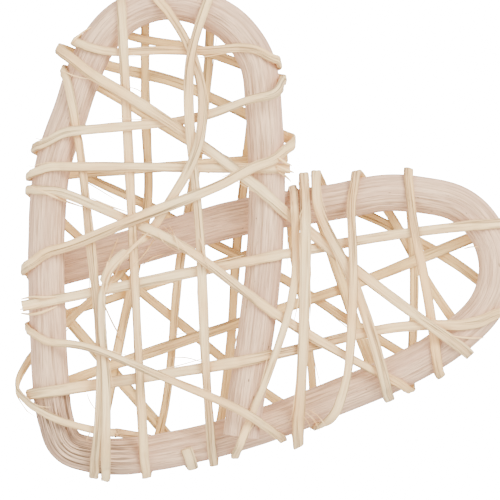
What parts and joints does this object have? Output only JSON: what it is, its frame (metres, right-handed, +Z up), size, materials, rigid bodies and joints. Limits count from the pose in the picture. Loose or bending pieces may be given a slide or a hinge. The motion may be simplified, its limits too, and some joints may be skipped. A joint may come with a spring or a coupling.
{
  "type": "rattan heart ornament",
  "caption": "Flat heart of one thick bent rattan cane, wound criss-cross with flat rattan strips; lies flat or hangs from a cord at the cleft.",
  "frame": {"origin": "centre of the bounding box, on the surface that the heart lies on", "axes": "+X from the left lobe to the right lobe, +Y from the point to the cleft, +Z up out of the front face"},
  "size_m": [0.1366, 0.1236, 0.031],
  "materials": {
    "cane": "matte peeled cane",
    "strip": "matte split rattan"
  },
  "bodies": {
    "root": {"cane_frame": "cane", "strip_broad_winding": "strip", "strip_cleft": "strip", "strip_side_lobe": "strip", "strip_upper_arch": "strip", "strip_crossing": "strip", "strip_left_edge": "strip", "strip_left_upright": "strip", "strip_uprights": "strip", "strip_low_slope": "strip", "strip_loose_loop": "strip", "strip_right_upright": "strip"}
  },
  "joints": []
}
